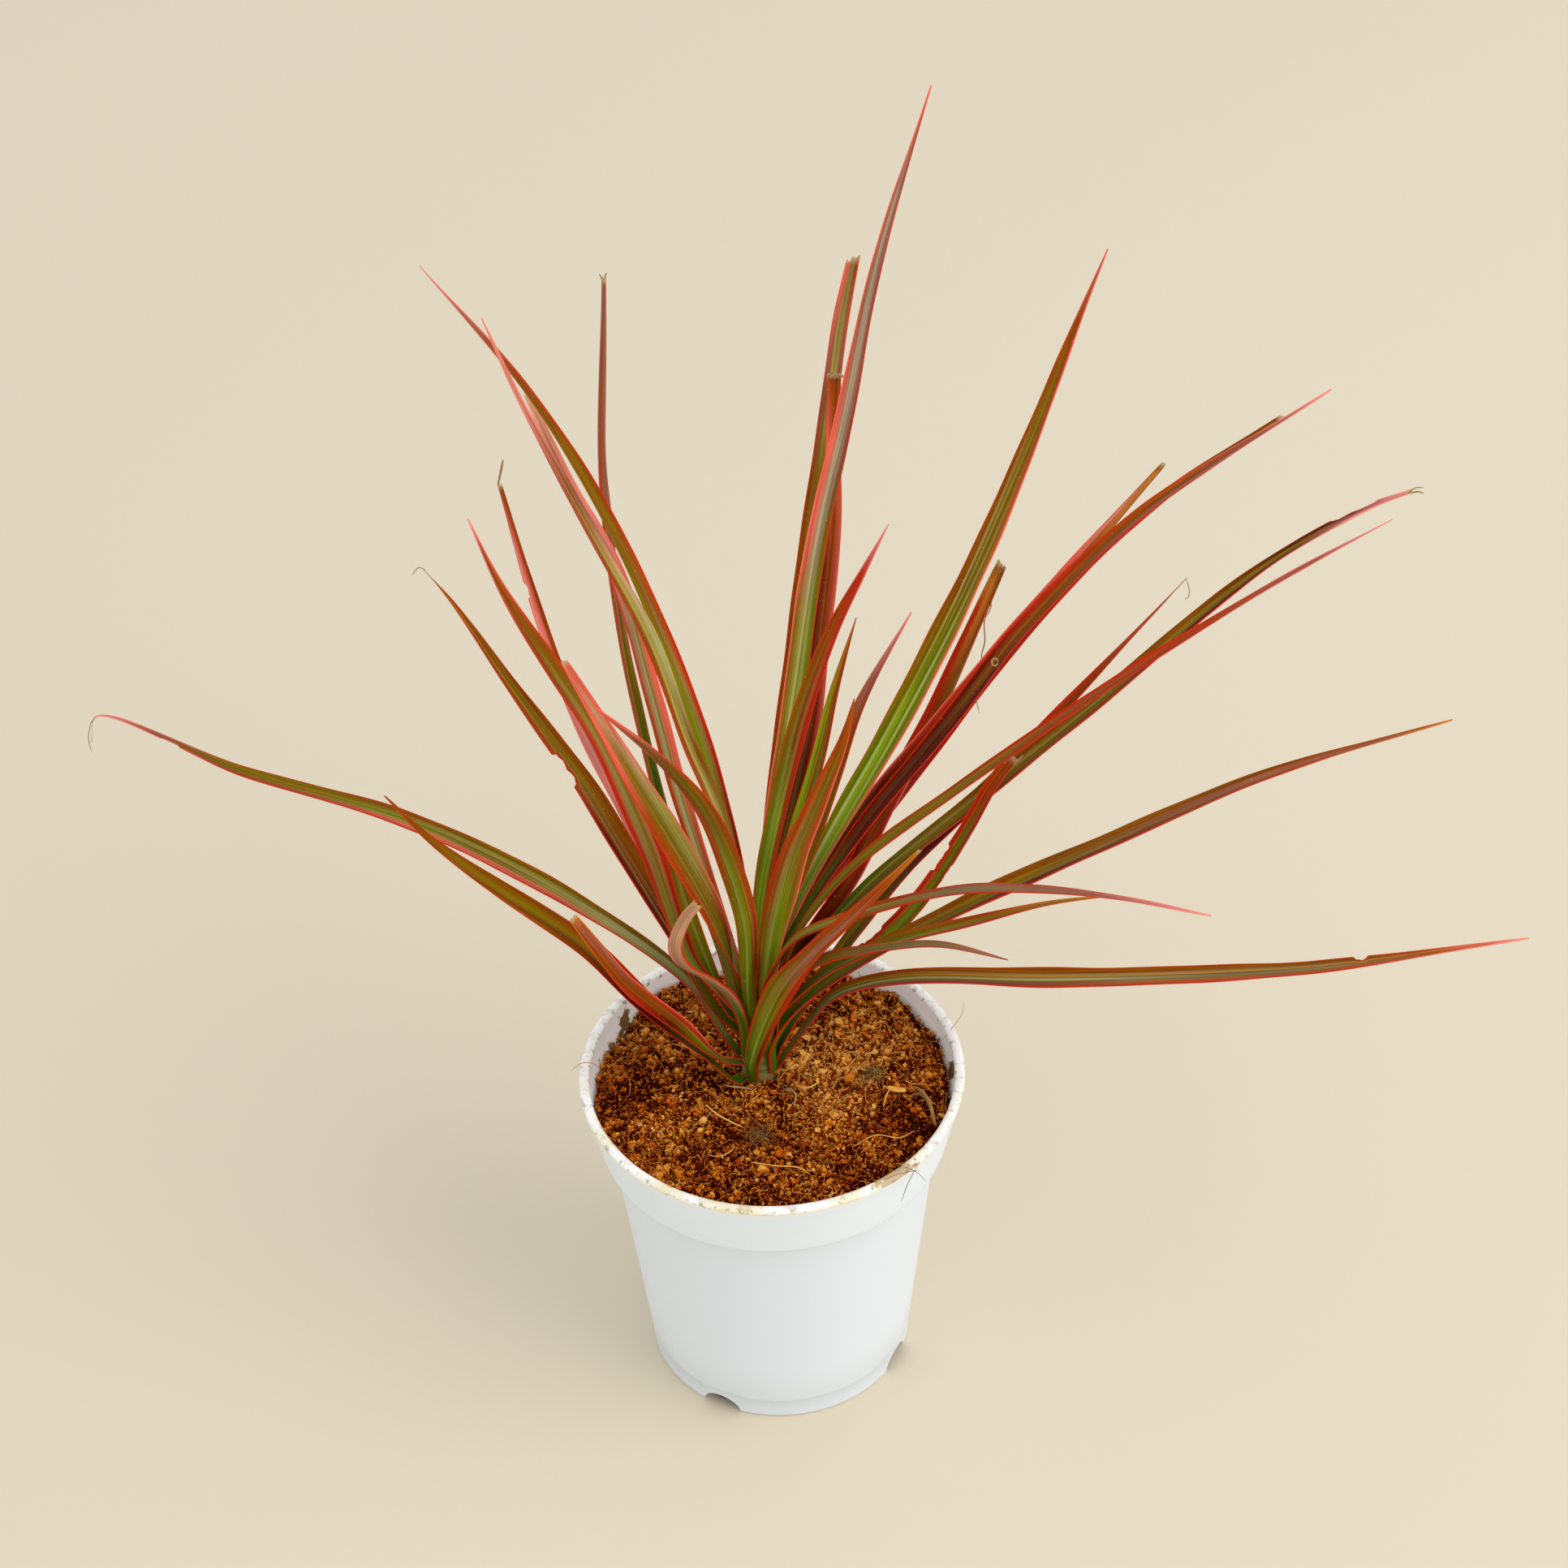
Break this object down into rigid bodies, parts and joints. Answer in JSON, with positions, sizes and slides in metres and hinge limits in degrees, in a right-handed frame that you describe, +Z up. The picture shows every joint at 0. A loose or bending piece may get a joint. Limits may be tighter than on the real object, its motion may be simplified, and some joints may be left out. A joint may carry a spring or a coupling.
{
  "type": "potted colorama madagascar dragon tree",
  "caption": "Young dragon tree with narrow striped, red-edged strap leaves fanning from a short stem, in a round white nursery pot with a collar, filled with coir.",
  "frame": {"origin": "on the floor, on the pot's axis, in the middle of the pot's flat underside", "axes": "+Z up along the pot's axis; the picture is taken from the -Y side, and +X is to its right"},
  "size_m": [0.3733, 0.1946, 0.3041],
  "materials": {
    "pot_plastic": "semi-matt white plastic",
    "potting_mix": "loose coir crumbs and fibres",
    "stem": "green-brown stem ringed by leaf bases",
    "leaf": "satin leaf, olive with cream stripes and red edges"
  },
  "bodies": {
    "root": {"pot": "pot_plastic", "potting_mix": "potting_mix", "stem": "stem", "leaf_left_1": "leaf", "leaf_left_2": "leaf", "leaf_left_3": "leaf", "leaf_left_4": "leaf", "leaf_left_5": "leaf", "leaf_left_6": "leaf", "leaf_left_7": "leaf", "leaf_left_8": "leaf", "leaf_left_9": "leaf", "leaf_front_1": "leaf", "leaf_front_2": "leaf", "leaf_front_3": "leaf", "leaf_front_4": "leaf", "leaf_front_5": "leaf", "leaf_front_6": "leaf", "leaf_front_7": "leaf", "leaf_back_1": "leaf", "leaf_back_2": "leaf", "leaf_back_3": "leaf", "leaf_back_4": "leaf", "leaf_back_5": "leaf", "leaf_back_6": "leaf", "leaf_right_1": "leaf", "leaf_right_2": "leaf", "leaf_right_3": "leaf", "leaf_right_4": "leaf", "leaf_right_5": "leaf", "leaf_right_6": "leaf", "leaf_right_7": "leaf", "leaf_right_8": "leaf", "leaf_right_9": "leaf", "leaf_right_10": "leaf", "leaf_right_11": "leaf", "leaf_right_12": "leaf", "leaf_right_13": "leaf", "leaf_right_14": "leaf"}
  },
  "joints": []
}
